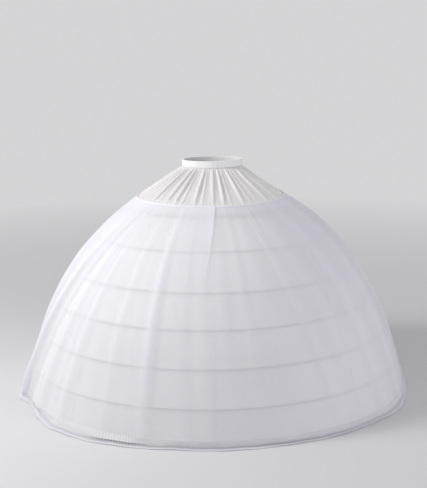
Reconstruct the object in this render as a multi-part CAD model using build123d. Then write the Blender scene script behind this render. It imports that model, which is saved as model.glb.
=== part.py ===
from build123d import *
from math import atan2, ceil, cos, degrees, hypot, radians, sin, tan
import os

# A hooped petticoat: a satin skirt held out by six hoops, under one layer of stiff net.
# Millimetres. The floor is z = 0, the waist is on the Z axis, and the front faces -Y.
# Azimuths are in degrees from the front, growing towards +X.

# Waistband: satin folded over an elastic, with the gathered yoke caught in its open lower edge
waist_top = 930.0
waist_across = 240.0
waist_front_to_back = 180.0
band_height = 26.0
band_wall = 1.2
band_cavity = 4.0
band_flats = 36
elastic_height = 14.0
elastic_thickness = 1.6
join_width = 17.0
join_thickness = 1.0

# Yoke: satin gathered to the waist, and nearly flat where it is sewn to the skirt
yoke_cloth = 1.2
yoke_tuck = 8.0
yoke_below_band = 2.5
yoke_ridges = 26
ridge_shoulder = 0.18
ridge_drift = 0.15
ridge_unevenness = 0.35
ridge_beat = 2.4
valley_depth = 0.5
upper_gather_level = 0.12
middle_gather_level = 0.5
gather_in_band = 0.6
gather_under_band = 5.0
gather_middle = 6.5
gather_at_seam = 0.9
seam_height = 785.0
seam_radius = 298.0
seam_allowance = 36.0

# Hoops: flat spring strips, each bent to a ring, with both ends pushed into a sleeve
hoop_heights = (641.0, 511.0, 391.0, 262.0, 130.0)
hoop_radii = (464.0, 567.0, 635.0, 689.0, 733.0)
hem_hoop_height = 7.0
hem_hoop_radius = 764.0
hoop_width = 8.0
hoop_thickness = 1.0
hoop_end_gap = 4.0
sleeve_length = 30.0
sleeve_wall = 0.5
sleeve_fit = 0.15

# Underskirt: gores of satin sewn edge to edge, turned up at the hem over the lowest hoop.
# Its rounds are drawn in flats, so that satin, strip and tape lie parallel all the way round.
gores = 8
flats_per_gore = 7
sleeve_flat = 27
skirt_cloth = 1.2
skirt_top_drop = 2.0
skirt_seam_room = 0.9
gore_gap = 0.3
turn_up = 20.0
casing_height = 18.0
casing_cloth = 1.0

# Net overskirt: where its outside runs, from the seam to the part that lies on the floor
net_cloth = 1.0
net_above_seam = 2.0
net_off_seam = 2.5
net_stand_off = 9.0
crease_height = 12.0
crease_off_hoop = 14.0
net_hem_height = 1.8
net_hem_off_hoop = 38.0
net_step = 6.5
net_ripple = 2.5
fold_ending = 0.45
edging_height = 22.0
edging_cloth = 1.0
tape_width = 6.0
tape_cloth = 1.0

# Folds of the net: azimuth at the seam and at the hem, half width, lift where it is fullest,
# and how far down that is, from 0 at the seam to 1 at the hem
folds = (
    (-166, -168, 5, 15, 0.9),
    (-147, -150, 5, 12, 0.7),
    (-127, -130, 5, 18, 0.9),
    (-106, -110, 5, 9, 0.8),
    (-84, -90, 5, 8, 0.9),
    (-66, -76, 5, 17, 1.0),
    (-45, -50, 4, 12, 0.8),
    (-25, -19, 3, 15, 0.6),
    (2, -2, 4, 10, 0.25),
    (24, 33, 4, 12, 0.45),
    (47, 52, 5, 11, 0.8),
    (67, 71, 5, 8, 0.9),
    (86, 90, 5, 8, 1.0),
    (107, 109, 5, 9, 0.8),
    (128, 131, 5, 17, 0.9),
    (150, 152, 5, 13, 0.8),
    (171, 173, 5, 16, 0.9),
)

# Room between neighbouring pieces, and how far out of plane four corners may lie
clearance = 0.3
flat_enough = 1e-6

flat_angle = 360 / (gores * flats_per_gore)


def at(azimuth, reach, depth, height):
    """The point at an azimuth on a level ellipse with these half axes."""
    turn = radians(azimuth)
    return Vector(reach * sin(turn), -depth * cos(turn), height)


def facets(a, b, c, d):
    """One flat face on four corners, or two along the shorter diagonal where they aren't flat."""
    if abs((b - a).cross(c - a).normalized().dot(d - a)) < flat_enough:
        outlines = [(a, b, c, d)]
    elif (c - a).length < (d - b).length:
        outlines = [(a, b, c), (a, c, d)]
    else:
        outlines = [(a, b, d), (b, c, d)]
    return [Face(Wire.make_polygon(outline, close=True)) for outline in outlines]


def skin(sections, closed=True):
    """A solid in flat facets over matching sections, each a loop of points, in a ring or a strip."""
    following = sections[1:] + sections[:1] if closed else sections[1:]
    faces = []
    for here, there in zip(sections, following):
        for k, corner in enumerate(here):
            n = (k + 1) % len(here)
            faces += facets(corner, here[n], there[n], there[k])
    if not closed:
        faces += [Face(Wire.make_polygon(end, close=True)) for end in (sections[0], sections[-1])]
    return Solid(Shell(faces))


def moved_out(profile, distance):
    """A profile of (radius, height) points, top first, moved outwards at right angles to itself."""
    moved = []
    for k, (radius, height) in enumerate(profile):
        above, below = profile[max(k - 1, 0)], profile[min(k + 1, len(profile) - 1)]
        run, drop = below[0] - above[0], above[1] - below[1]
        length = hypot(run, drop)
        moved.append((radius + distance * drop / length, height + distance * run / length))
    return moved


def radius_on(profile, height):
    """The radius of a profile at a height, along its straight runs."""
    for (upper, z_upper), (lower, z_lower) in zip(profile, profile[1:]):
        if z_lower <= height <= z_upper:
            return upper + (lower - upper) * (z_upper - height) / (z_upper - z_lower)
    return profile[-1][0]


def on_flats(azimuth, radius, height):
    """The point over a round drawn in flats, which are this radius from the axis."""
    off_middle = azimuth % flat_angle - flat_angle / 2
    reach = radius / cos(radians(off_middle))
    return at(azimuth, reach, reach, height)


def round_in_flats(loop, azimuths=None):
    """A closed ring with one (radius, height) loop at every corner, or a strip between azimuths."""
    columns = azimuths or [k * flat_angle for k in range(gores * flats_per_gore)]
    return skin([[on_flats(a, r, z) for r, z in loop] for a in columns], closed=azimuths is None)


def slope(radii, heights, upper, lower):
    """The angle from upright of the line between two hoops, in degrees."""
    return degrees(atan2(radii[lower] - radii[upper], heights[upper] - heights[lower]))


def hoop_rows():
    """Radius, height, lean and bend of each hoop, top first, with the hem's last.

    The lean is from upright. The bend is how far the satin turns from it above or below the hoop.
    """
    radii = [seam_radius, *hoop_radii, hem_hoop_radius]
    heights = [seam_height, *hoop_heights, hem_hoop_height]
    rows = []
    for k in range(1, len(radii)):
        below = min(k + 1, len(radii) - 1)
        lean = slope(radii, heights, k - 1, below)
        sides = [slope(radii, heights, k - 1, k), slope(radii, heights, below - 1, below)]
        rows.append((radii[k], heights[k], lean, max(abs(side - lean) for side in sides)))
    return rows


def beside(row, outwards, upwards=0.0):
    """The (radius, height) of a point beside a hoop, out from it and up along its lean."""
    radius, height, lean, bend = row
    turn = radians(lean)
    return (
        radius + outwards * cos(turn) - upwards * sin(turn),
        height + outwards * sin(turn) + upwards * cos(turn),
    )


def band_beside(row, near, far, tall):
    """The loop of a flat band that leans with a hoop, from near to far outwards of its middle line."""
    half = tall / 2
    return [beside(row, far, half), beside(row, far, -half), beside(row, near, -half), beside(row, near, half)]


def sleeve_azimuth():
    return (sleeve_flat + 0.5) * flat_angle


def channel(row):
    """From a hoop's middle line in to the tape behind it, and out to the satin in front."""
    sleeve = hoop_thickness / 2 + sleeve_fit + sleeve_wall
    half_tall = hoop_width / 2 + sleeve_fit + sleeve_wall
    return -sleeve - clearance, sleeve + clearance + half_tall * tan(radians(row[3]))


def spring_hoop(row):
    """A flat strip bent to a ring, open by a small gap where its ends meet in the sleeve."""
    half_gap = degrees(hoop_end_gap / 2 / row[0])
    first = sleeve_flat + 1
    corners = [(first + k) * flat_angle for k in range(gores * flats_per_gore)]
    azimuths = [sleeve_azimuth() + half_gap, *corners, sleeve_azimuth() + 360 - half_gap]
    strip = band_beside(row, -hoop_thickness / 2, hoop_thickness / 2, hoop_width)
    return round_in_flats(strip, azimuths)


def hoop_sleeve(row):
    """A flat metal sleeve over both ends of a hoop."""
    radius, height, lean, bend = row
    thick, tall = hoop_thickness + 2 * sleeve_fit, hoop_width + 2 * sleeve_fit
    outside = Box(thick + 2 * sleeve_wall, sleeve_length, tall + 2 * sleeve_wall)
    bore = Box(thick, 2 * sleeve_length, tall)
    place = Rot(0, 0, sleeve_azimuth() - 90) * Pos(radius, 0, height) * Rot(0, -lean, 0)
    return place * (outside - bore)


def hoop_casing(row):
    """The tape sewn over a hoop, which holds it against the inside of the satin."""
    behind = channel(row)[0]
    return round_in_flats(band_beside(row, behind - casing_cloth, behind, casing_height))


def skirt_outside():
    """The satin's outer profile, from its top edge to the hem hoop."""
    top = (seam_radius - yoke_cloth - gather_at_seam - skirt_seam_room, seam_height - skirt_top_drop)
    return [top] + [beside(row, channel(row)[1] + skirt_cloth) for row in hoop_rows()]


def skirt_section():
    """The satin's cut profile: down the outside, round the turned-up hem, and up the inside."""
    outside = skirt_outside()
    inside = moved_out(outside, -skirt_cloth)
    hem_row = hoop_rows()[-1]
    radius, height, lean, bend = hem_row
    turn = radians(lean)

    def hem_line(outwards, level):
        return (radius + outwards / cos(turn) + (height - level) * tan(turn), level)

    behind, before = channel(hem_row)
    hem = [
        hem_line(before + skirt_cloth, 0),
        hem_line(behind - skirt_cloth, 0),
        hem_line(behind - skirt_cloth, turn_up),
        hem_line(behind, turn_up),
        hem_line(behind, skirt_cloth),
        hem_line(before, skirt_cloth),
    ]
    return outside[:-1] + hem + inside[-2::-1]


def skirt_gore(index):
    """One gore: the cut profile carried over its share of the round, between two seams."""
    half_gap = degrees(gore_gap / 2 / hem_hoop_radius)
    azimuths = [(index * flats_per_gore + k) * flat_angle for k in range(flats_per_gore + 1)]
    azimuths[0] += half_gap
    azimuths[-1] -= half_gap
    return round_in_flats(skirt_section(), azimuths)


def band_loop(azimuth, loop):
    """A loop of points, each a distance in from the band's outside and a height, at one azimuth."""
    half_across, half_deep = waist_across / 2, waist_front_to_back / 2
    return [at(azimuth, half_across - inset, half_deep - inset, z) for inset, z in loop]


def band_ring(loop):
    """A ring round the waist with the same loop at every column."""
    return skin([band_loop(k * 360 / band_flats, loop) for k in range(band_flats)])


def waistband():
    """Satin folded over at the top and open below."""
    low, under_fold = waist_top - band_height, waist_top - band_wall
    inner = band_wall + band_cavity
    outer_wall = [(band_wall, under_fold), (band_wall, low), (0, low), (0, waist_top)]
    inner_wall = [(inner + band_wall, waist_top), (inner + band_wall, low), (inner, low), (inner, under_fold)]
    return band_ring(outer_wall + inner_wall)


def waist_elastic():
    """A flat elastic up in the fold of the band."""
    high = waist_top - band_wall - clearance
    low = high - elastic_height
    near = band_wall + clearance
    far = near + elastic_thickness
    return band_ring([(near, low), (near, high), (far, high), (far, low)])


def band_join_tape():
    """A short tape sewn over the join of the band's ends, on the flat right of the front."""
    left, right = (band_loop(a, [(0, waist_top - band_height / 2)])[0] for a in (0, 360 / band_flats))
    along = right - left
    facing = Plane(origin=(left + right) / 2, x_dir=along, z_dir=along.cross(Vector(0, 0, 1)))
    return facing * Pos(0, 0, clearance + join_thickness / 2) * Box(join_width, band_height, join_thickness)


def yoke_rows():
    """Reach, depth, height, gather and its unevenness of each level of the yoke, top first."""
    middle = band_wall + band_cavity / 2
    reach, depth = waist_across / 2 - middle, waist_front_to_back / 2 - middle
    band_low = waist_top - band_height
    leave = band_low - yoke_below_band
    rows = [(reach, depth, z, gather_in_band, 0.0) for z in (band_low + yoke_tuck, leave)]
    for share, gather, uneven in (
        (upper_gather_level, gather_under_band, ridge_unevenness),
        (middle_gather_level, gather_middle, ridge_unevenness),
        (1.0, gather_at_seam, 0.0),
    ):
        level = leave + (seam_height - leave) * share
        across = reach + (seam_radius - reach) * share
        deep = depth + (seam_radius - depth) * share
        rows.append((across, deep, level, gather, uneven))
    flange = seam_height - seam_allowance
    radius = radius_on(skirt_outside(), flange) + yoke_cloth + gather_at_seam + skirt_seam_room
    rows.append((radius, radius, flange, gather_at_seam, 0.0))
    return rows


def yoke_columns():
    """Azimuth, lift as a share of the gather, and unevenness of each column of the yoke."""
    crests = [(k + ridge_drift * sin(ridge_beat * k)) * 360 / yoke_ridges for k in range(yoke_ridges)]
    columns = []
    for k, (here, there) in enumerate(zip(crests, crests[1:] + [crests[0] + 360])):
        for share, lift in ((0, 1), (ridge_shoulder, 0), (0.5, -valley_depth), (1 - ridge_shoulder, 0)):
            columns.append((here + (there - here) * share, lift, sin(ridge_beat * k)))
    return columns


def yoke():
    """Gathered satin, from inside the band to its seam allowance over the top of the skirt."""
    rows = yoke_rows()
    mean = [(across, level) for across, deep, level, gather, uneven in rows]
    sections = []
    for azimuth, share, wave in yoke_columns():
        faces = []
        for face in (yoke_cloth / 2, -yoke_cloth / 2):
            line = []
            for n, (across, deep, level, gather, uneven) in enumerate(rows):
                lift = share * gather * (1 + uneven * wave)
                reach, height = moved_out(mean, face + lift)[n]
                line.append(at(azimuth, reach, reach - across + deep, height))
            faces.append(line)
        sections.append(faces[0] + faces[1][::-1])
    return skin(sections)


def net_profile():
    """The net's outer profile, from the seam over the hoops to the crease and the floor."""
    rows = [(seam_radius + net_off_seam, seam_height + net_above_seam)]
    rows += [(radius + net_stand_off, height) for radius, height in zip(hoop_radii, hoop_heights)]
    last_radius, last_height = rows[-1]
    crease_radius = hem_hoop_radius + crease_off_hoop
    edging_top = crease_height + edging_height
    share = (last_height - edging_top) / (last_height - crease_height)
    rows.append((last_radius + (crease_radius - last_radius) * share, edging_top))
    rows.append((crease_radius, crease_height))
    rows.append((hem_hoop_radius + net_hem_off_hoop, net_hem_height))
    return rows


def net_columns():
    """Azimuth at the seam and at the hem, lift and its place, of every column of the net."""
    marks = []
    for seam, hem, half, lift, place in folds:
        marks += [(seam - half, hem - half, 0, 1), (seam, hem, lift, place), (seam + half, hem + half, 0, 1)]
    columns = []
    for here, there in zip(marks, marks[1:] + [(marks[0][0] + 360, marks[0][1] + 360, 0, 1)]):
        columns.append(here)
        between = ceil(max(there[0] - here[0], there[1] - here[1]) / net_step)
        for k in range(1, between):
            seam, hem = (here[n] + (there[n] - here[n]) * k / between for n in (0, 1))
            columns.append((seam, hem, net_ripple * sin(hem), 1))
    return columns


def fullness(share, place):
    """How much of its lift a fold has at a share of the way down."""
    if share < place:
        return share / place * (2 - share / place)
    return 1 - ((share - place) / max(1 - place, fold_ending)) ** 2


def net_piece(first, last, near, far):
    """A ring of cloth over some rows of the net, from near to far outwards of its outer face."""
    profile = net_profile()
    down = [0.0]
    for (upper, z_upper), (lower, z_lower) in zip(profile, profile[1:]):
        down.append(down[-1] + hypot(lower - upper, z_upper - z_lower))
    faces = [(moved_out(profile, far), range(first, last + 1)), (moved_out(profile, near), range(last, first - 1, -1))]
    sections = []
    for seam, hem, lift, place in net_columns():
        loop = []
        for line, rows in faces:
            for k in rows:
                share = down[k] / down[-1]
                radius = line[k][0] + lift * fullness(share, place)
                loop.append(at(seam + (hem - seam) * share, radius, radius, line[k][1]))
        sections.append(loop)
    return skin(sections)


def net_overskirt():
    """One layer of stiff net, folded as it hangs."""
    return net_piece(0, len(net_profile()) - 1, -net_cloth, 0.0)


def hem_edging():
    """A narrow edging sewn on the net just above the crease of its hem."""
    crease = len(net_profile()) - 2
    return net_piece(crease - 1, crease, clearance, clearance + edging_cloth)


def seam_tape():
    """The narrow tape that sews the top edge of the net to the yoke."""
    (upper, z_upper), (lower, z_lower) = net_profile()[:2]
    share = tape_width / hypot(lower - upper, z_upper - z_lower)
    edge = [(upper, z_upper), (upper + (lower - upper) * share, z_upper - (z_upper - z_lower) * share)]
    near, far = (moved_out(edge, distance) for distance in (2 * clearance, 2 * clearance + tape_cloth))
    return round_in_flats(near + far[::-1])


def pieces():
    """Every piece with its name, from the waist down and from the outside in."""
    yield "waistband", waistband()
    yield "waist_elastic", waist_elastic()
    yield "band_join_tape", band_join_tape()
    yield "yoke", yoke()
    yield "seam_tape", seam_tape()
    yield "net_overskirt", net_overskirt()
    yield "hem_edging", hem_edging()
    for k in range(gores):
        yield f"skirt_gore_{k + 1}", skirt_gore(k)
    for k, row in enumerate(hoop_rows(), 1):
        yield f"hoop_{k}", spring_hoop(row)
        yield f"hoop_sleeve_{k}", hoop_sleeve(row)
        if k <= len(hoop_radii):
            yield f"hoop_casing_{k}", hoop_casing(row)


os.makedirs("parts", exist_ok=True)
for name, solid in pieces():
    export_step(solid, f"parts/{name}.step")
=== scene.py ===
from math import atan2, cos, hypot, pi, radians, sin

import bpy
import numpy as np
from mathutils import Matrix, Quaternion, Vector


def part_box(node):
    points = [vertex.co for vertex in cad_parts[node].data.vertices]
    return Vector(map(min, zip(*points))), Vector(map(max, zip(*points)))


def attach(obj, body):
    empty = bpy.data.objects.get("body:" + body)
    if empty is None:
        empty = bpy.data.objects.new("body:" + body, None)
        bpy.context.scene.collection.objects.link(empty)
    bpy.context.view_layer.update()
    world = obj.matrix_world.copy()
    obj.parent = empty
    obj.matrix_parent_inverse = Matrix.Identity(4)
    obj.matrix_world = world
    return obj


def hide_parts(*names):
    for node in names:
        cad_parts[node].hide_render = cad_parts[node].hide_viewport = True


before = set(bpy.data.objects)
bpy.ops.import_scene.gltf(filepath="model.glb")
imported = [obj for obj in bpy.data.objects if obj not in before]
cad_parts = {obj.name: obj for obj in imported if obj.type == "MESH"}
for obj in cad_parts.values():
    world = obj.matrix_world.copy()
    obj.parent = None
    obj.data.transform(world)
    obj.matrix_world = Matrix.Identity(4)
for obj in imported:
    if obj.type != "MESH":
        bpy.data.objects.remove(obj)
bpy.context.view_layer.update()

# Hoops: six flat strips of white coated spring steel, each bent to a ring. They are what holds
# the skirt out. Azimuths in this file start at the front and grow to the right. The CAD model's
# rounds have 56 flats, and the sleeves lie on the middle of one of them.
hoop_radii = [0.464, 0.567, 0.635, 0.689, 0.733, 0.764]
hoop_heights = [0.641, 0.511, 0.391, 0.262, 0.130, 0.007]
hoop_count = len(hoop_radii)
hoop_thick, hoop_tall = 0.001, 0.008
hoop_half_gap, hoop_steps, hoop_weld = 0.002, 216, 0.00001
seam_radius, seam_height = 0.298, 0.785
flat_count, sleeve_flat = 56, 27.5
sleeve_azimuth = radians(sleeve_flat * 360 / flat_count)

# A hoop leans as the skirt does from the line above it to the line below it.
skirt_radii, skirt_heights = [seam_radius, *hoop_radii], [seam_height, *hoop_heights]
hoop_leans = []
for above in range(hoop_count):
    below = min(above + 2, hoop_count)
    wider = skirt_radii[below] - skirt_radii[above]
    hoop_leans.append(atan2(wider, skirt_heights[above] - skirt_heights[below]))


class Amount:
    """A number, colour or place that varies over a surface, so that it can be written in sums."""

    def __init__(self, nodes, socket):
        self.nodes, self.socket = nodes, socket

    def maths(self, operation, *others, swap=False):
        operands = [self, *others]
        if swap:
            operands.reverse()
        return self.nodes.add("ShaderNodeMath", {"operation": operation}, dict(enumerate(operands)))

    def __add__(self, other):
        return self.maths("ADD", other)

    def __sub__(self, other):
        return self.maths("SUBTRACT", other)

    def __mul__(self, other):
        return self.maths("MULTIPLY", other)

    def __rsub__(self, other):
        return self.maths("SUBTRACT", other, swap=True)

    __radd__, __rmul__ = __add__, __mul__

    def sine(self):
        return self.maths("SINE")

    def size(self):
        return self.maths("ABSOLUTE")

    def part(self):
        return self.maths("FRACT")

    def power(self, other):
        return self.maths("POWER", other)

    def above(self, other):
        return self.maths("GREATER_THAN", other)

    def below(self, other):
        return self.maths("LESS_THAN", other)

    def highest(self, other):
        return self.maths("MAXIMUM", other)

    def lowest(self, other):
        return self.maths("MINIMUM", other)

    def axes(self):
        """The x, y and z of a place."""
        split = self.nodes.add("ShaderNodeSeparateXYZ", inputs={0: self})
        return [Amount(self.nodes, socket) for socket in split.socket.node.outputs]


class Nodes:
    """A node tree that is built up node by node."""

    def __init__(self, tree):
        self.tree = tree

    def add(self, kind, settings=None, inputs=None, output=0):
        node = self.tree.nodes.new(kind)
        for name, value in (settings or {}).items():
            setattr(node, name, value)
        for name, value in (inputs or {}).items():
            if isinstance(value, Amount):
                self.tree.links.new(value.socket, node.inputs[name])
            else:
                node.inputs[name].default_value = value
        return Amount(self, node.outputs[output])


class Finish(Nodes):
    """A material on one surface shader."""

    def __init__(self, name, **constants):
        self.material = bpy.data.materials.new(name)
        self.material.use_nodes = True
        super().__init__(self.material.node_tree)
        self.surface = self.tree.nodes["Principled BSDF"]
        for socket, value in constants.items():
            self.surface.inputs[socket.replace("_", " ")].default_value = value

    def across(self):
        """The cloth's own directions: how far along its width and its length, in metres."""
        return self.add("ShaderNodeTexCoord", output="UV").axes()[:2]

    def attribute(self, name):
        return self.add("ShaderNodeAttribute", {"attribute_name": name}, output="Fac")

    def noise(self, scale, detail=3.0, stretch=(1, 1, 1)):
        place = self.add("ShaderNodeTexCoord", output="Object")
        place = self.add("ShaderNodeMapping", inputs={"Vector": place, "Scale": stretch})
        return self.add("ShaderNodeTexNoise", inputs={"Vector": place, "Scale": scale, "Detail": detail})

    def blend(self, share, first, second):
        return self.add("ShaderNodeMix", {"data_type": "RGBA"}, {0: share, 6: first, 7: second}, output=2)

    def bump(self, height, distance, strength=1.0):
        values = {"Height": height, "Distance": distance, "Strength": strength}
        return self.add("ShaderNodeBump", inputs=values)

    def wear(self, piece, **sockets):
        """Link what varies to the surface, and put the material on a piece."""
        for name, value in sockets.items():
            self.tree.links.new(value.socket, self.surface.inputs[name.replace("_", " ")])
        piece.data.materials.clear()
        piece.data.materials.append(self.material)


def settle(piece, nodes, smooth=40):
    """Apply a finished piece's place, shade it, and let it stand for its nodes."""
    bpy.ops.object.select_all(action="DESELECT")
    piece.select_set(True)
    bpy.context.view_layer.objects.active = piece
    bpy.ops.object.transform_apply(location=True, rotation=True, scale=True)
    bpy.ops.object.shade_smooth_by_angle(angle=radians(smooth))
    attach(piece, "root")
    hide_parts(*nodes)


coated = Finish("coated_spring_steel", Roughness=0.38)
coat_noise = coated.noise(60, 4)
coat_colour = coated.blend(coat_noise, (0.80, 0.80, 0.79, 1), (0.90, 0.90, 0.89, 1))
coat_bump = coated.bump(coat_noise, 0.0001)
coat_rough = coated.noise(300) * 0.2 + 0.28
for k, (radius, height, lean) in enumerate(zip(hoop_radii, hoop_heights, hoop_leans)):
    start = sleeve_azimuth + hoop_half_gap / radius
    turn = 2 * pi - 2 * hoop_half_gap / radius
    middle = radius * sin(start), -radius * cos(start), height
    bpy.ops.object.select_all(action="DESELECT")
    bpy.ops.mesh.primitive_plane_add(size=1, location=middle, rotation=(pi / 2, -lean, start - pi / 2))
    hoop = bpy.context.object
    hoop.name = f"spring_hoop_{k + 1}"
    hoop.scale = hoop_thick, hoop_tall, 1
    bpy.ops.object.transform_apply(location=True, rotation=True, scale=True)
    bpy.ops.object.mode_set(mode="EDIT")
    bpy.ops.mesh.select_all(action="SELECT")
    bpy.ops.mesh.spin(steps=hoop_steps, angle=turn, center=(0, 0, 0), axis=(0, 0, 1))
    bpy.ops.mesh.select_all(action="SELECT")
    bpy.ops.mesh.remove_doubles(threshold=hoop_weld)
    bpy.ops.mesh.fill_holes(sides=4)
    bpy.ops.mesh.select_all(action="SELECT")
    bpy.ops.mesh.normals_make_consistent(inside=False)
    bpy.ops.object.mode_set(mode="OBJECT")
    coated.wear(hoop, Base_Color=coat_colour, Roughness=coat_rough, Normal=coat_bump)
    settle(hoop, [f"hoop_{k + 1}"])

# Hoop sleeves: short flat steel tubes, each pushed over both ends of a hoop and crimped there,
# so that the hoop stays a closed ring.
sleeve_long, sleeve_thick, sleeve_tall = 0.030, 0.0023, 0.0093
sleeve_wall, sleeve_edge = 0.0004, 0.00015
crimp_at, crimp_half, crimp_squeeze = 0.009, 0.002, (0.93, 1, 0.97)
nearly = 1e-5
steel = Finish("crimped_steel", Metallic=1.0)
steel_grain = steel.noise(400, 2, stretch=(1, 1, 12))
steel_colour = steel.blend(steel_grain, (0.50, 0.50, 0.50, 1), (0.68, 0.68, 0.67, 1))
steel_rough = steel_grain * 0.25 + 0.25
steel_bump = steel.bump(steel_grain, 0.00005)
for k, (radius, height, lean) in enumerate(zip(hoop_radii, hoop_heights, hoop_leans)):
    bpy.ops.object.select_all(action="DESELECT")
    bpy.ops.mesh.primitive_cube_add(size=1, location=(0, 0, 0))
    sleeve = bpy.context.object
    sleeve.name = f"crimped_sleeve_{k + 1}"
    sleeve.scale = sleeve_thick, sleeve_long, sleeve_tall
    bpy.ops.object.transform_apply(location=True, rotation=True, scale=True)
    bpy.ops.object.mode_set(mode="EDIT")
    for crimp in (-crimp_at, crimp_at):
        for cut in (crimp - crimp_half, crimp, crimp + crimp_half):
            bpy.ops.mesh.select_all(action="SELECT")
            bpy.ops.mesh.bisect(plane_co=(0, cut, 0), plane_no=(0, 1, 0))
    bpy.ops.mesh.select_all(action="DESELECT")
    bpy.ops.object.mode_set(mode="OBJECT")
    for face in sleeve.data.polygons:
        face.select = abs(abs(face.center.y) - sleeve_long / 2) < nearly
    bpy.ops.object.mode_set(mode="EDIT")
    bpy.ops.mesh.delete(type="FACE")
    bpy.ops.mesh.select_all(action="DESELECT")
    bpy.ops.object.mode_set(mode="OBJECT")
    for corner in sleeve.data.vertices:
        corner.select = abs(abs(corner.co.y) - crimp_at) < nearly
    bpy.ops.object.mode_set(mode="EDIT")
    bpy.ops.transform.resize(value=crimp_squeeze)
    bpy.ops.object.mode_set(mode="OBJECT")
    wall = sleeve.modifiers.new("wall", "SOLIDIFY")
    wall.thickness, wall.offset = sleeve_wall, -1
    bpy.ops.object.modifier_apply(modifier="wall")
    edge = sleeve.modifiers.new("edge", "BEVEL")
    edge.width, edge.segments, edge.limit_method = sleeve_edge, 2, "ANGLE"
    bpy.ops.object.modifier_apply(modifier="edge")
    sleeve.location = radius * sin(sleeve_azimuth), -radius * cos(sleeve_azimuth), height
    sleeve.rotation_euler = 0, -lean, sleeve_azimuth - pi / 2
    steel.wear(sleeve, Base_Color=steel_colour, Roughness=steel_rough, Normal=steel_bump)
    settle(sleeve, [f"hoop_sleeve_{k + 1}"])

# Hoop casings: five cotton tapes, each sewn along both its edges to the back of the satin, so that
# a hoop runs in the channel between them. Their edges pucker a little between the stitches.
casing_tall, casing_cloth, casing_behind = 0.018, 0.0006, 0.00155
casing_pucker, casing_stitches = 0.0002, (0.002, 0.016)
casing_azimuths = np.linspace(0, 2 * pi, 240, endpoint=False)
casing_up = np.linspace(0.5, -0.5, 7)[:, None] * casing_tall

# High up on the right all the cloths sink in, by this much at these heights.
sunk_heights = [0.68, 0.72, 0.75, 0.788, 0.83, 0.862, 0.885, 0.899]
sunk_depths = [0, 0.0036, 0.009, 0.0165, 0.0185, 0.0175, 0.008, 0]
sunk_wide = 0.85


def round_at(azimuths, radius, height, depth=None):
    """Points at these azimuths, in radians, on a level round of this radius, or of this width and depth."""
    depth = radius if depth is None else depth
    azimuths, radius, height, depth = np.broadcast_arrays(azimuths, radius, height, depth)
    from_right = np.mod(azimuths + pi / 2, 2 * pi) - pi
    sunk = np.interp(height, sunk_heights, sunk_depths) * np.exp(-(from_right / sunk_wide) ** 2)
    return np.stack([(radius - sunk) * np.sin(azimuths), -(depth - sunk) * np.cos(azimuths), height], axis=-1)


def woven(name, grid, closed=True, thick=0.0, **amounts):
    """A sheet of cloth over rows of points from the top down, with a UV map in metres."""
    rows, columns = grid.shape[:2]
    following = [(c + 1) % columns for c in range(columns if closed else columns - 1)]
    faces = [
        (r * columns + c, (r + 1) * columns + c, (r + 1) * columns + n, r * columns + n)
        for r in range(rows - 1)
        for c, n in enumerate(following)
    ]
    mesh = bpy.data.meshes.new(name)
    mesh.from_pydata(grid.reshape(-1, 3).tolist(), [], faces)
    ring = np.concatenate([grid, grid[:, :1]], axis=1) if closed else grid
    along = np.linalg.norm(np.diff(ring, axis=1), axis=2).mean(axis=0)
    along = np.concatenate([[0], np.cumsum(along)])
    down = np.linalg.norm(np.diff(grid, axis=0), axis=2).mean(axis=1)
    down = np.concatenate([[0], np.cumsum(down)])
    flat = mesh.uv_layers.new(name="cut")
    corners = [
        (along[c + turn], down[r + drop])
        for r in range(rows - 1)
        for c in range(len(following))
        for turn, drop in ((0, 0), (0, 1), (1, 1), (1, 0))
    ]
    flat.data.foreach_set("uv", np.array(corners, np.float32).ravel())
    for amount, values in amounts.items():
        layer = mesh.attributes.new(amount, "FLOAT", "POINT")
        layer.data.foreach_set("value", np.broadcast_to(values, (rows, columns)).astype(np.float32).ravel())
    piece = bpy.data.objects.new(name, mesh)
    bpy.context.collection.objects.link(piece)
    if thick:
        bpy.context.view_layer.objects.active = piece
        body = piece.modifiers.new("body", "SOLIDIFY")
        body.thickness, body.offset = thick, -1
        bpy.ops.object.modifier_apply(modifier="body")
    return piece


def stitch_and_shadow_dashes(across, along, rows, pitch=0.0025, wide=0.0006):
    """How far a point lies on rows of dashes, which run along at these distances across: stitches, and dashes
    of painted shadow.
    """
    thread = (along * (1 / pitch)).part().above(0.25)
    seam = None
    for row in rows:
        near = (across - row).size().below(wide)
        seam = near if seam is None else seam.highest(near)
    return thread * seam


def weave(along, across, pitch):
    """The height of a plain weave with threads this far apart."""
    return (along * (2 * pi / pitch)).sine() * (across * (2 * pi / pitch)).sine()


tape = Finish("cotton_tape", Roughness=0.85, Sheen_Weight=0.2)
tape_along, tape_across = tape.across()
tape_weave = weave(tape_along, tape_across, 0.0012)
tape_stitch = stitch_and_shadow_dashes(tape_across, tape_along, casing_stitches)
tape_colour = tape.blend(tape.noise(12), (0.84, 0.84, 0.83, 1), (0.92, 0.92, 0.91, 1))
tape_colour = tape.blend(tape_stitch, tape_colour, (0.97, 0.97, 0.97, 1))
tape_bump = tape.bump(tape_weave * 0.3 + tape_stitch, 0.0003)
for k in range(hoop_count - 1):
    lean = hoop_leans[k]
    pucker = casing_pucker * np.sin(casing_azimuths * 110) * (casing_up / casing_tall * 2) ** 2
    out = pucker - casing_behind
    radius = hoop_radii[k] + out * cos(lean) - casing_up * sin(lean)
    height = hoop_heights[k] + out * sin(lean) + casing_up * cos(lean)
    casing = woven(f"casing_tape_{k + 1}", round_at(casing_azimuths, radius, height), thick=casing_cloth)
    tape.wear(casing, Base_Color=tape_colour, Normal=tape_bump)
    settle(casing, [f"hoop_casing_{k + 1}"])
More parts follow.
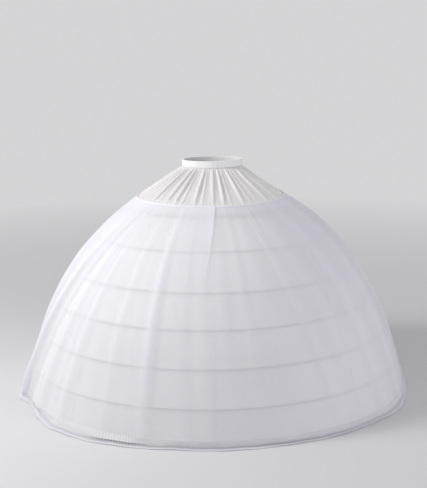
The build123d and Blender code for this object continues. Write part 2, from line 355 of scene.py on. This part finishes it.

# Underskirt: eight gores of satin, sewn edge to edge, over the hoops and turned up round the lowest
# one. Along each hoop a grey line is painted: mostly painted shade of its channel, with a little of the
# hoop showing through. The stitches of the channels lie on both sides.
satin_cloth, satin_out, satin_sag = 0.0005, 0.0029, 0.004
gore_count, gore_columns = 8, 50
gore_angle, gore_mean_radius, gore_hem_radius = 2 * pi / gore_count, 0.6, 0.775
gore_room = 0.0002 / 0.77
gore_seam_tight, gore_seam_wide = 0.0006, 0.006
satin_wave = 0.0011

# The satin dips beside each hoop, where its channel is sewn. From the hoop's line it runs flat, then goes
# down to the dip, stays there up to the channel's edge, and comes out again beyond it.
channel_edge, channel_dip, channel_flat, channel_ramp, channel_fade = 0.012, 0.0022, 0.002, 0.0045, 0.03
channel_rows, rows_between, first_row = [0.002, 0.004, 0.0065, 0.009], 10, 0.004
far_off = 0.1

# The satin is held at its top edge and over each hoop.
satin_held = [(0.2952, 0.7830)]
for radius, height, lean in zip(hoop_radii, hoop_heights, hoop_leans):
    satin_held.append((radius + satin_out * cos(lean), height + satin_out * sin(lean)))

# The hem turns under the lowest hoop and up behind it. The last column is the distance from the hoop.
turned_hem = [
    (0.7678, 0.0035, 0.0022), (0.7684, 0.0016, 0.0034), (0.7676, 0.0006, 0.0045), (0.7657, 0.0003, far_off),
    (0.7638, 0.0006, far_off), (0.7629, 0.0018, far_off), (0.7617, 0.0060, far_off), (0.7599, 0.0130, far_off),
    (0.7581, 0.0200, far_off),
]


def satin_profile():
    """The satin's outer line from its top edge down and round the hem, and how far from a hoop it is."""
    line = [(*satin_held[0], far_off)]
    for k in range(1, hoop_count + 1):
        (r0, z0), (r1, z1) = satin_held[k - 1], satin_held[k]
        length = hypot(r1 - r0, z1 - z0)
        down = (r1 - r0) / length, (z1 - z0) / length
        below_hoop, at_hem = k > 1, k == hoop_count
        begin = channel_edge if below_hoop else first_row
        step = (length - channel_edge - begin) / (rows_between - 1)
        spots = channel_rows if below_hoop else []
        spots = spots + [begin + step * n for n in range(rows_between)]
        spots += [length - row for row in reversed(channel_rows)] + [length]
        for spot in spots:
            edge = min(spot if below_hoop else 1.0, length - spot)
            dip = channel_dip * min(1.0, max(0.0, edge - channel_flat) / channel_ramp)
            if edge >= channel_edge:
                dip *= max(0.0, 1 - (edge - channel_edge) / channel_fade)
            if at_hem and spot > length - channel_edge:
                dip = 0.0
            out = -satin_sag * sin(pi * spot / length) ** 0.8 - dip
            thinner = 0.6 if at_hem and spot > length / 2 else 1
            spot_radius = r0 + down[0] * spot - down[1] * out
            spot_height = z0 + down[1] * spot + down[0] * out
            line.append((spot_radius, spot_height, edge * thinner))
    return np.array(line + turned_hem)


satin_line = satin_profile()
from_hoop = satin_line[:, 2]
satin_down = np.linalg.norm(np.diff(satin_line[:, :2], axis=0), axis=1)
satin_down = np.concatenate([[0], np.cumsum(satin_down)])
satin = Finish("skirt_satin", Roughness=0.42, Sheen_Weight=0.15, Specular_IOR_Level=0.4)
satin_along = satin.across()[0]
satin_near = satin.attribute("from_hoop")
shade_line_reach, shade_line_blur, stitch_off, stitch_half, stitch_density = 0.0042, 0.0026, 0.0065, 0.0005, 400
# The grey line along each hoop is mostly painted shade of its channel, with a little of the hoop showing
# through.
hoop_line_shade = ((shade_line_reach - satin_near) * (1 / shade_line_blur)).lowest(1.0).highest(0.0)
satin_dashes = (satin_along * stitch_density).part().above(0.3)
satin_stitch = (satin_near - stitch_off).size().below(stitch_half) * satin_dashes
satin_cloud = satin.noise(5, 4)
satin_colour = satin.blend(satin_cloud, (0.90, 0.90, 0.905, 1), (0.95, 0.95, 0.945, 1))
satin_colour = satin.blend(satin_stitch, satin_colour, (0.74, 0.74, 0.76, 1))
satin_colour = satin.blend(hoop_line_shade * 0.72, satin_colour, (0.34, 0.34, 0.37, 1))
satin_rough = satin_cloud * 0.2 + 0.34
satin_grain = satin.noise(900, 2, stretch=(1, 1, 0.15))
satin_bump = satin.bump(satin_grain * 0.3 + satin_stitch * 1.5, 0.0002)

# The satin is slack away from the hoops and above the hem, and hangs in soft waves there. The painted
# shade of the hoop lines grows fainter towards both sides.
slack_grows, slack_ends, slack_falls, side_shade_fade = 0.05, 1.06, 8, 0.0022
slack = np.clip((from_hoop - channel_edge) / slack_grows, 0, 1)
slack = (slack * np.clip((slack_ends - satin_down) * slack_falls, 0, 1))[:, None]
for k in range(gore_count):
    azimuths = np.linspace(k * gore_angle + gore_room, (k + 1) * gore_angle - gore_room, gore_columns)
    from_seam = np.minimum(azimuths - azimuths[0], azimuths[-1] - azimuths) * gore_mean_radius
    tight = gore_seam_tight * np.exp(-(from_seam / gore_seam_wide) ** 2)
    waves = np.sin(azimuths * 23 + 1.3 * k) + 0.6 * np.sin(azimuths * 47 + 2.1 * k)
    waves = waves + np.sin(satin_down[:, None] * 21 + azimuths * 9)
    grid = round_at(azimuths, satin_line[:, :1] - tight + satin_wave * slack * waves, satin_line[:, 1:2])
    # The painted shade of the hoop lines fades out towards both sides.
    shade_fade_at_sides = side_shade_fade * np.sin(azimuths) ** 4
    gore = woven(f"satin_gore_{k + 1}", grid, closed=False, thick=satin_cloth,
                 from_hoop=from_hoop[:, None] + shade_fade_at_sides)
    satin.wear(gore, Base_Color=satin_colour, Roughness=satin_rough, Normal=satin_bump)
    settle(gore, [f"skirt_gore_{k + 1}"], smooth=60)

# Yoke: off-white satin gathered to the waist. Its ridges run down from the waistband and flatten
# out where its lower edge is sewn over the top of the underskirt.
yoke_cloth, ridge_count, ridge_wide, ridge_sunk = 0.0006, 47, 0.17, 0.28
yoke_columns, yoke_top, yoke_edge_height = 780, 0.9020, 0.7852


def through(points, count):
    """A smooth line through a few points, with this many points on it."""
    points = np.array(points, float)
    spot = np.linspace(0, len(points) - 1, count)
    k = np.minimum(spot.astype(int), len(points) - 2)
    f = (spot - k)[:, None]
    before, after = points[np.maximum(k - 1, 0)], points[np.minimum(k + 2, len(points) - 1)]
    here, there = points[k], points[k + 1]
    slope = there - before
    return 0.5 * (2 * here + slope * f + (2 * before - 5 * here + 4 * there - after) * f ** 2
                  + (3 * here - before - 3 * there + after) * f ** 3)


# Half the width, half the depth and the height: inside the band, down the yoke, and under the net.
yoke_line = np.concatenate([
    through([(0.1168, 0.0868, 0.912), (0.1168, 0.0868, 0.9045)], 4),
    through([(0.1180, 0.0880, 0.9030), (0.1240, 0.0950, 0.8972), (0.1395, 0.1131, 0.8875),
             (0.1712, 0.1502, 0.8666), (0.2074, 0.1924, 0.8433), (0.2454, 0.2368, 0.8188),
             (0.2799, 0.2769, 0.7967), (0.2985, 0.2985, 0.7852)], 44),
    through([(0.3030, 0.3030, 0.7812), (0.3208, 0.3208, 0.7650), (0.3400, 0.3400, 0.7490)], 8)[1:],
])
yoke_share = np.clip((yoke_top - yoke_line[:, 2]) / (yoke_top - yoke_edge_height), 0, 1)
yoke_azimuths = np.linspace(0, 2 * pi, yoke_columns, endpoint=False)
crest_spots = [(n + 0.22 * sin(2.4 * n)) * 2 * pi / ridge_count for n in range(-1, ridge_count + 1)]
crest_numbers = np.interp(yoke_azimuths, crest_spots, np.arange(-1, ridge_count + 1))
crest = np.round(crest_numbers)
crest_height = 0.95 + 0.3 * np.sin(2.4 * crest) + 0.25 * np.sin(5.7 * crest + 1)
ridge = crest_height * np.exp(-((crest_numbers - crest) / ridge_wide) ** 2) - ridge_sunk
gather = np.interp(yoke_share, [0, 0.04, 0.15, 0.5, 0.85, 1], [0.0004, 0.0024, 0.0056, 0.0074, 0.0056, 0.0008])
crimp_height = np.interp(yoke_share, [0, 0.03, 0.25, 0.6, 1], [0.0001, 0.0010, 0.0006, 0.0002, 0.0003])
crimps = np.sin(yoke_azimuths * 96 + 2 * np.sin(yoke_azimuths * 7)) * crimp_height[:, None]

# Short wrinkles lie across the lower edge, mostly a little left of the front.
wrinkle_height, wrinkle_share, wrinkle_long = 0.0019, 0.9, 0.06
wrinkle_azimuth, wrinkle_wide, wrinkle_least = -0.52, 0.2, 0.15
yoke_share = yoke_share[:, None]
from_wrinkles = np.mod(yoke_azimuths + pi, 2 * pi) - pi - wrinkle_azimuth
wrinkles = wrinkle_height * np.sin(yoke_azimuths * 96 + 4 * np.sin(yoke_azimuths * 3) + yoke_share * 30)
wrinkles = wrinkles * np.exp(-((yoke_share - wrinkle_share) / wrinkle_long) ** 2)
wrinkles = wrinkles * (wrinkle_least + (1 - wrinkle_least) * np.exp(-(from_wrinkles / wrinkle_wide) ** 2))
yoke_lift = ridge * gather[:, None] + crimps + wrinkles
yoke_wide, yoke_deep, yoke_height = (yoke_line[:, n:n + 1] for n in range(3))
yoke_grid = round_at(yoke_azimuths, yoke_wide + yoke_lift, yoke_height + 0.55 * yoke_lift,
                     depth=yoke_deep + yoke_lift)
yoke = woven("gathered_yoke", yoke_grid, thick=yoke_cloth)
yoke_satin = Finish("yoke_satin", Roughness=0.40, Sheen_Weight=0.15, Specular_IOR_Level=0.45)
yoke_cloud = yoke_satin.noise(9, 4)
yoke_along, yoke_across = yoke_satin.across()
yoke_colour = yoke_satin.blend(yoke_cloud, (0.765, 0.755, 0.745, 1), (0.82, 0.81, 0.80, 1))
yoke_long = float(np.linalg.norm(np.diff(yoke_line[:, [0, 2]], axis=0), axis=1).sum())
# Long dark dashes along the lower edge are painted shadow, where the edge stands off between the gathers.
yoke_edge_shadow = stitch_and_shadow_dashes(yoke_across, yoke_along, (yoke_long - 0.003,), pitch=0.083, wide=0.0018)
yoke_colour = yoke_satin.blend(yoke_edge_shadow * 0.7, yoke_colour, (0.42, 0.42, 0.44, 1))
yoke_bump = yoke_satin.bump(yoke_satin.noise(700, 2), 0.00015)
yoke_satin.wear(yoke, Base_Color=yoke_colour, Roughness=yoke_cloud * 0.2 + 0.32, Normal=yoke_bump)
settle(yoke, ["yoke"], smooth=80)

# Waistband: one strip of white satin folded over an elastic, with its ends joined right of the
# front. Rows of stitching hold the elastic, and the strip shrinks into small ripples between them.
band_wide, band_deep, band_low, band_thick = 0.120, 0.090, 0.904, 0.0064
band_cloth, band_dent, band_ripple = 0.0006, 0.0004, 0.00032
band_rows = [0.9075, 0.9135, 0.9195, 0.9255]
band_line = through([
    (band_thick, band_low), (band_thick, 0.912), (band_thick, 0.922), (0.0062, 0.9285), (0.0052, 0.9298),
    (0.0032, 0.9300), (0.0012, 0.9298), (0.0002, 0.9285), (0.0, 0.922), (0.0, 0.912), (0.0, band_low)], 61)
band_inset, band_height = band_line[:, :1], band_line[:, 1:]
band_azimuths = np.linspace(0, 2 * pi, 432, endpoint=False)
from_row = np.abs(band_height - np.array(band_rows)).min(axis=1)[:, None]
held_down = np.exp(-(from_row / 0.0012) ** 2)
ripple = np.sin(band_azimuths * 78 + 3 * np.sin(band_azimuths * 5) + band_height * 160)
sunk_in = band_dent * held_down - band_ripple * ripple * (1 - held_down)
inset = np.where(band_inset > band_thick / 2, band_thick - sunk_in, band_inset + sunk_in)
inset = np.where(band_height > 0.9275, band_inset, inset)
band_grid = round_at(band_azimuths, band_wide - inset, band_height, band_deep - inset)
band = woven("folded_waistband", band_grid, thick=band_cloth)
bpy.context.view_layer.objects.active = band
bpy.ops.object.mode_set(mode="EDIT")
bpy.ops.mesh.select_all(action="SELECT")
bpy.ops.mesh.normals_make_consistent(inside=False)
bpy.ops.object.mode_set(mode="OBJECT")
band_satin = Finish("band_satin", Roughness=0.5, Sheen_Weight=0.15)
band_x, band_y, band_z = band_satin.add("ShaderNodeTexCoord", output="Object").axes()
band_round = band_x.maths("ARCTAN2", band_y) * ((band_wide + band_deep) / 2)
band_stitch = stitch_and_shadow_dashes(band_z, band_round, band_rows, pitch=0.0026, wide=0.0004)
band_colour = band_satin.blend(band_satin.noise(30), (0.90, 0.90, 0.905, 1), (0.95, 0.95, 0.95, 1))
band_colour = band_satin.blend(band_stitch * 0.8, band_colour, (0.76, 0.76, 0.78, 1))
band_bump = band_satin.bump(band_satin.noise(900, 2) * 0.2 + band_stitch, 0.0002)
band_satin.wear(band, Base_Color=band_colour, Normal=band_bump)
settle(band, ["waistband"], smooth=80)

# Elastic: a flat elastic up in the fold of the waistband. It is woven of cotton and rubber threads
# and has fine ribs from edge to edge.
elastic_inset, elastic_cloth, elastic_rib_pitch = 0.0015, 0.0013, 0.0015
elastic_azimuths = np.linspace(0, 2 * pi, 288, endpoint=False)
elastic_height = np.linspace(0.9282, 0.9146, 9)[:, None]
elastic_inset = elastic_inset + 0.0001 * np.sin(elastic_azimuths * 144)
elastic_grid = round_at(elastic_azimuths, band_wide - elastic_inset, elastic_height, band_deep - elastic_inset)
elastic = woven("flat_elastic", elastic_grid, thick=elastic_cloth)
rubber = Finish("ribbed_elastic", Roughness=0.7)
elastic_across = rubber.across()[1]
elastic_rib = (elastic_across * (2 * pi / elastic_rib_pitch)).sine() * 0.5 + 0.5
elastic_colour = rubber.blend(elastic_rib, (0.80, 0.80, 0.78, 1), (0.92, 0.92, 0.90, 1))
rubber.wear(elastic, Base_Color=elastic_colour, Normal=rubber.bump(elastic_rib, 0.0003))
settle(elastic, ["waist_elastic"])

# Join tape: a short satin tape over the join of the band's ends. It is sewn down along both its
# sides, and the stitches pull it in there.
join_low, join_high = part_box("band_join_tape")
join_cloth, join_pull = 0.0007, 0.0003
join_across = np.linspace(0, 1, 15)
join_x = join_low.x + (join_high.x - join_low.x) * join_across
join_y = join_low.y + (join_high.y - join_low.y - 0.001) * join_across
join_y = join_y + join_pull * np.exp(-((np.minimum(join_across, 1 - join_across) - 0.14) / 0.05) ** 2)
join_height = np.linspace(0.9300, 0.9040, 14)[:, None]
join_grid = np.stack(np.broadcast_arrays(join_x, join_y, join_height), axis=-1)
join = woven("join_tape", join_grid, closed=False, thick=join_cloth)
join_satin = Finish("join_satin", Roughness=0.5, Sheen_Weight=0.15)
join_along, join_down = join_satin.across()
join_stitch = stitch_and_shadow_dashes(join_along, join_down, (0.0024, 0.0146), pitch=0.0024, wide=0.0004)
join_colour = join_satin.blend(join_satin.noise(40), (0.89, 0.89, 0.895, 1), (0.94, 0.94, 0.94, 1))
join_colour = join_satin.blend(join_stitch, join_colour, (0.66, 0.66, 0.69, 1))
join_satin.wear(join, Base_Color=join_colour, Normal=join_satin.bump(join_stitch, 0.0002))
settle(join, ["band_join_tape"])

# Net overskirt: one layer of stiff white net, gathered into the seam at the yoke's lower edge. It
# hangs in long narrow folds over the hoops, and its hem breaks at the bottom and turns out.
net_columns, net_rows, net_cell = 840, 92, 0.0016
net_line = through([
    (0.3005, 0.7870), (0.3640, 0.7400), (0.4240, 0.6900), (0.4730, 0.6410), (0.5280, 0.5800), (0.5760, 0.5110),
    (0.6130, 0.4500), (0.6440, 0.3910), (0.6725, 0.3300), (0.6980, 0.2620), (0.7190, 0.2000), (0.7420, 0.1300),
    (0.7580, 0.0700), (0.7690, 0.0300), (0.7760, 0.0120), (0.7830, 0.0050), (0.8020, 0.0022)], net_rows)
net_round, net_up = net_line[:, :1], net_line[:, 1:]
net_down = np.concatenate([[0], np.cumsum(np.linalg.norm(np.diff(net_line, axis=0), axis=1))])
net_share = (net_down / net_down[-1])[:, None]

# Each fold: its azimuth at the seam and at the hem in degrees, half widths on its left and its right,
# lift in millimetres where it is fullest, how far down that is, and how many more layers it holds.
net_folds = [
    (-166, -168, 5, 5, 15, 0.9, 0.8), (-147, -150, 5, 5, 12, 0.7, 0.5), (-127, -130, 5, 5, 18, 0.9, 1.0),
    (-106, -110, 5, 5, 9, 0.8, 0.6), (-84, -93, 5, 5, 6, 0.9, 0.6), (-58, -79, 7, 3, 24, 0.8, 0.6),
    (-50, -72, 3, 4, -8, 0.7, -0.6), (-46, -63, 4, 5, 7, 0.8, 0.2), (-42, -50, 3, 5, 5, 0.8, 0.3),
    (-32, -33, 3, 4, 3, 0.6, 0.2), (-21, -20.5, 3.6, 3.2, 5, 0.45, 0.9), (-11, -9, 4, 3, 2, 0.3, 0.15),
    (9, 12, 4, 4, 2, 0.5, 0.1), (21, 38, 4, 6, 3, 0.6, 0.25), (30, 47, 4, 4, 2.5, 0.4, 0.15),
    (48, 57, 4, 5, 6, 0.8, 0.4), (66, 70, 5, 5, 5, 0.7, 0.4), (84, 87, 5, 5, 3, 0.5, 0.5),
    (107, 109, 5, 5, 8, 0.8, 0.6), (128, 131, 5, 5, 17, 0.9, 0.9), (150, 152, 5, 5, 13, 0.8, 0.6),
    (171, 173, 5, 5, 16, 0.9, 0.8),
]
fold_tops, fold_hems = (np.array([fold[n] for fold in net_folds], float) for n in (0, 1))
hem_azimuths = np.linspace(-180, 180, net_columns, endpoint=False)
hem_turn = np.radians(hem_azimuths)
shift = np.interp(hem_azimuths, np.concatenate([fold_hems + round_off for round_off in (-360, 0, 360)]),
                  np.tile(fold_tops - fold_hems, 3))
net_azimuths = hem_azimuths + shift * (1 - net_share)


def bell(values, middle, half_width, sharpness=2):
    """One at the middle, falling smoothly to nothing on both sides."""
    return np.exp(-(np.abs(values - middle) / half_width) ** sharpness)


net_lift = np.zeros_like(net_azimuths)
net_layers = np.ones_like(net_azimuths)
for _, hem, left, right, lift, place, more in net_folds:
    off = np.mod(hem_azimuths - hem + 180, 360) - 180
    off = off / np.where(off < 0, left, right)
    share = net_share / place
    above_fullest = share * (2 - share)
    below_fullest = 1 - ((net_share - place) / max(1 - place, 0.45)) ** 2
    fullness = np.where(net_share < place, above_fullest, below_fullest)
    net_lift += 0.001 * lift * fullness * (bell(off, 0, 0.5) - 0.22 * bell(np.abs(off), 1.2, 0.4))
    net_layers += more * bell(off, 0, 0.55) * (0.35 + 0.65 * fullness)

# Small gathers under the seam, weaker in front, and broad uneven waves further down.
gather_lift, gather_layers, broad_lift, broad_layers = 0.0011, 0.10, 0.0013, 0.07
gathers = np.sin(hem_turn * 96 + 3 * np.sin(hem_turn * 11)) * (1 - 0.8 * bell(hem_azimuths, 0, 45))
net_lift += gather_lift * gathers * np.clip(net_share * 30, 0, 1) * bell(net_share, 0, 0.1, 1.5)
broad = np.sin(hem_turn * 13 + 2.2 * np.sin(hem_turn * 3) + 2.5 * net_share)
broad += 0.7 * np.sin(hem_turn * 31 + 3 * np.sin(hem_turn * 5) - 4 * net_share)
net_lift += broad_lift * broad * np.clip(net_share * 2, 0, 1)
net_layers += gather_layers * gathers * bell(net_share, 0, 0.12) + broad_layers * broad

# A soft pleat. Its edge starts at the middle of the front and drifts to the left further down, and
# it fades out to the left of that edge.
edge_top, edge_drift, pleat_wide, pleat_layers, pleat_lift = 2, 14, 9, 1.4, 0.0045
edge_off = net_azimuths - (edge_top - edge_drift * net_share)
pleat = (edge_off < 0) * np.exp(edge_off / pleat_wide) * np.clip(1.35 - net_share * 3.2, 0, 1)
net_layers += pleat_layers * pleat
net_lift += pleat_lift * pleat

# The net stands off further low on the left and less low on the right, and it is denser at the sides
# and just under the seam.
left_out, right_in, side_layers, seam_layers = 0.009, 0.006, 0.9, 0.7
net_lift += left_out * bell(hem_azimuths, -86, 12) * bell(net_up, 0.09, 0.09)
net_lift -= right_in * bell(hem_azimuths, 82, 30) * bell(net_up, 0.09, 0.12)
net_sides = np.clip((np.abs(hem_azimuths + 6) - 32) / 40, 0, 1) * (0.3 + 0.7 * np.sin(hem_turn) ** 2)
net_layers += side_layers * net_sides * (1 - 0.85 * net_share)
net_layers += seam_layers * bell(net_share, 0, 0.045, 4)

# The rim is the lowest part, which turns out flat. It reaches these radii at these azimuths.
rim = np.clip((0.030 - net_up) / 0.0278, 0, 1) ** 1.5
reach = np.array([
    (-180, 0.802), (-100, 0.800), (-84, 0.798), (-79, 0.796), (-72, 0.773), (-66, 0.773), (-60, 0.790),
    (-48, 0.812), (-36, 0.821), (-25, 0.804), (-10, 0.792), (20, 0.788), (50, 0.788), (64, 0.795),
    (75, 0.784), (84, 0.775), (100, 0.785), (130, 0.800), (180, 0.802),
])
further = np.interp(hem_azimuths, *reach.T) - net_line[-1, 0]
rim_waves = 0.0025 * np.sin(hem_turn * 13 + 0.7) + 0.0016 * np.sin(hem_turn * 41)
net_radius = net_round + net_lift * (1 - 0.7 * rim) + rim * (rim_waves + further)
net_height = net_up + rim ** 4 * (0.0006 * np.sin(hem_turn * 23) - 0.0004)

# Where the net would come too near the satin, it is eased out to lie just over it.
least_gap, further_gap, gap_blur = 0.001, 0.002, 0.002
skin_radii, skin_heights = np.array(satin_held[::-1]).T
skin = np.interp(net_line[:, 1], skin_heights, skin_radii)[:, None]
over_skin = net_radius - skin - least_gap - further_gap * np.clip(net_share * 12, 0, 1) * (1 - rim)
net_radius += 0.5 * (np.hypot(over_skin, gap_blur) - over_skin)
net_grid = round_at(np.radians(net_azimuths), net_radius, np.maximum(net_height, 0.0012))
net = woven("net_overskirt_folds", net_grid, layers=np.clip(net_layers + 1.5 * rim ** 4, 0.4, 3.5),
            hem_line=bell(net_up, 0.0050, 0.0018) * (0.4 + 0.6 * bell(hem_azimuths, 0, 38)))
tulle = Finish("stiff_net", Roughness=0.75, Sheen_Weight=0.12, Specular_IOR_Level=0.3)
tulle_along, tulle_across = tulle.across()
tulle_layers = tulle.attribute("layers")
holes = (tulle_along * (pi / net_cell)).sine().size() * (tulle_across * (pi / net_cell)).sine().size()
thread_clear, hole_clear = 0.27, 0.34
tulle_clear = (holes * hole_clear + thread_clear).power(tulle_layers)
tulle_dense = ((tulle_layers - 1) * 0.7).lowest(1.0).highest(0.0)
tulle_colour = tulle.blend(tulle_dense, (0.925, 0.92, 0.955, 1), (0.90, 0.90, 0.975, 1))
tulle_colour = tulle.blend(tulle.noise(4, 3) * 0.5, tulle_colour, (0.88, 0.875, 0.94, 1))
# A dark line of painted shade lies in the crease where the hem breaks, strongest in front.
tulle_colour = tulle.blend(tulle.attribute("hem_line") * 0.75, tulle_colour, (0.20, 0.20, 0.22, 1))
tulle_bump = tulle.bump(holes, 0.0003, 0.3)
tulle.wear(net, Base_Color=tulle_colour, Alpha=1 - tulle_clear, Normal=tulle_bump)
settle(net, ["net_overskirt"], smooth=80)

# Seam tape: a narrow tape of doubled net over the top edge of the overskirt. It sews the net to the
# yoke and stands up as a fine ridge.
ridge_tall, ridge_cloth, ridge_pucker = 0.0024, 0.0006, 0.0002
ridge_azimuths = np.linspace(0, 2 * pi, 900, endpoint=False)
ridge_share = np.linspace(0, 1, 7)[:, None]
puckers = ridge_pucker * np.sin(ridge_azimuths * 130)
ridge_radius = 0.2992 + 0.0064 * ridge_share + puckers
ridge_height = 0.7858 - 0.0018 * ridge_share + ridge_tall * np.sqrt(np.sin(pi * ridge_share).clip(0)) + puckers
ridge_grid = round_at(ridge_azimuths, ridge_radius, ridge_height)
seam_tape = woven("seam_tape_ridge", ridge_grid, thick=ridge_cloth)
ridge_net = Finish("doubled_net", Roughness=0.7, Sheen_Weight=0.2)
ridge_along, ridge_across = ridge_net.across()
ridge_stitch = stitch_and_shadow_dashes(ridge_across, ridge_along, (0.003,), pitch=0.0025)
ridge_colour = ridge_net.blend(ridge_stitch, (0.88, 0.88, 0.90, 1), (0.94, 0.94, 0.95, 1))
ridge_net.wear(seam_tape, Base_Color=ridge_colour, Normal=ridge_net.bump(ridge_stitch, 0.0003))
settle(seam_tape, ["seam_tape"], smooth=80)

# Hem edging: a narrow ribbon sewn on the net just above the break of its hem. Its crimps are painted lighter
# and darker as light and shade, and a row of dark dashes along its lower edge is painted shadow under them.
# It is crimped and shows clearly on one short stretch at the front.
ribbon_low, ribbon_high, ribbon_off, ribbon_cloth = 0.0055, 0.0345, 0.0012, 0.0004
ribbon_pitch, ribbon_dash, ribbon_dash_up = 0.012, 0.0026, 0.003
ribbon_rows = [n for n, (radius, height) in enumerate(net_line) if ribbon_low <= height <= ribbon_high]
crimped = 0.2 + 0.8 * bell(hem_azimuths, -27, 8, 4)
ribbon_radius = net_radius[ribbon_rows] + ribbon_off + 0.0006 * crimped * np.sin(hem_turn * 210)
ribbon_grid = round_at(np.radians(net_azimuths[ribbon_rows]), ribbon_radius, net_height[ribbon_rows])
edging = woven("crimped_edging", ribbon_grid, thick=ribbon_cloth, crimp=crimped)
ribbon = Finish("crimped_ribbon", Roughness=0.7)
ribbon_along, ribbon_across = ribbon.across()
ribbon_crimp = ribbon.attribute("crimp")
ribbon_rib_relief_and_shade = (ribbon_along * (2 * pi / ribbon_pitch)).sine() * 0.5 + 0.5
ribbon_long = float(np.hypot(*np.diff(net_line[ribbon_rows], axis=0).T).sum())
ribbon_dash_shadow = stitch_and_shadow_dashes(ribbon_across, ribbon_along, (ribbon_long - ribbon_dash_up,),
                         pitch=ribbon_pitch, wide=ribbon_dash)
# Painted shade darkens the hollows between the crimps, and painted shadow lies in dashes under them.
ribbon_colour = ribbon.blend(ribbon_rib_relief_and_shade * ribbon_crimp, (0.94, 0.94, 0.96, 1), (0.79, 0.79, 0.83, 1))
ribbon_colour = ribbon.blend(ribbon_dash_shadow * ribbon_crimp, ribbon_colour, (0.22, 0.22, 0.24, 1))
ribbon_clear = ribbon_crimp * 0.6 + 0.15
ribbon.wear(edging, Base_Color=ribbon_colour, Alpha=ribbon_clear, Normal=ribbon.bump(ribbon_rib_relief_and_shade, 0.0004))
settle(edging, ["hem_edging"], smooth=80)

# Stage: a plain pale floor that fades out far off, soft lamps, a pale surround and the camera. The
# floor gives back less light than it shows, so that the skirt darkens a little towards its hem.
bpy.ops.mesh.primitive_plane_add(size=40, location=(0, 0, -0.0005))
floor = bpy.context.object
floor.name = "floor"
fade_from, fade_over = 1.6, 3.4
paint = Finish("pale_floor", Roughness=0.9)
paint_place = paint.add("ShaderNodeTexCoord", output="Object")
paint_far = paint.add("ShaderNodeVectorMath", {"operation": "LENGTH"}, {0: paint_place}, output="Value")
paint_far = ((paint_far - fade_from) * (1 / fade_over)).highest(0.0).lowest(1.0)
paint_colour = paint.blend(paint.noise(0.4), (0.73, 0.73, 0.735, 1), (0.75, 0.75, 0.755, 1))
seen = paint.add("ShaderNodeLightPath", output="Is Camera Ray")
paint_colour = paint.blend(seen, (0.45, 0.45, 0.47, 1), paint_colour)
paint.wear(floor, Base_Color=paint_colour, Alpha=1 - paint_far)

lamp_aim = Vector((0, 0, 0.5))
for name, place, wide, power, tint in (
    ("key", (-5.2, -1.0, 3.0), 1.7, 120, (1.0, 0.995, 0.985)),
    ("near", (-1.8, -0.9, 2.2), 0.8, 24, (1.0, 0.995, 0.99)),
    ("fill", (4.2, -3.2, 1.2), 3.0, 90, (0.98, 0.975, 1.0)),
    ("back", (1.5, 4.0, 3.5), 3.0, 15, (1.0, 1.0, 1.0)),
):
    bpy.ops.object.light_add(type="AREA", location=place)
    lamp = bpy.context.object
    lamp.name = name
    lamp.data.size, lamp.data.energy, lamp.data.color = wide, power, tint
    aim = (lamp_aim - lamp.location).normalized()
    lamp.rotation_euler = (np.arccos(-aim.z), 0, atan2(aim.y, aim.x) - pi / 2)

world = bpy.data.worlds.new("studio")
bpy.context.scene.world = world
world.use_nodes = True
world.node_tree.nodes.remove(world.node_tree.nodes["Background"])
sky = Nodes(world.node_tree)
sky_light = sky.add("ShaderNodeBackground", inputs={"Color": (0.97, 0.965, 1.0, 1), "Strength": 0.40})
sky_seen = sky.add("ShaderNodeBackground", inputs={"Color": (0.66, 0.66, 0.67, 1)})
camera_ray = sky.add("ShaderNodeLightPath", output="Is Camera Ray")
glossy_ray = sky.add("ShaderNodeLightPath", output="Is Glossy Ray")
sky_mix = sky.add("ShaderNodeMixShader", inputs={0: camera_ray.highest(glossy_ray), 1: sky_light, 2: sky_seen})
sky.tree.links.new(sky_mix.socket, sky.tree.nodes["World Output"].inputs["Surface"])

camera_focal, picture_tall, sensor_tall = 1210, 488, 36
camera_pitch, camera_roll = radians(79), radians(-0.95)
bpy.ops.object.camera_add(location=(0, -4.80, 1.516))
camera = bpy.context.object
camera.data.sensor_fit, camera.data.sensor_height = "VERTICAL", sensor_tall
camera.data.lens = camera_focal / picture_tall * sensor_tall
camera.rotation_mode = "ZXY"
camera.rotation_euler = camera_pitch, 0, 0
camera.rotation_mode = "QUATERNION"
camera.rotation_quaternion = camera.rotation_quaternion @ Quaternion((0, 0, 1), camera_roll)
bpy.context.scene.camera = camera
bpy.context.scene.view_settings.view_transform = "Standard"
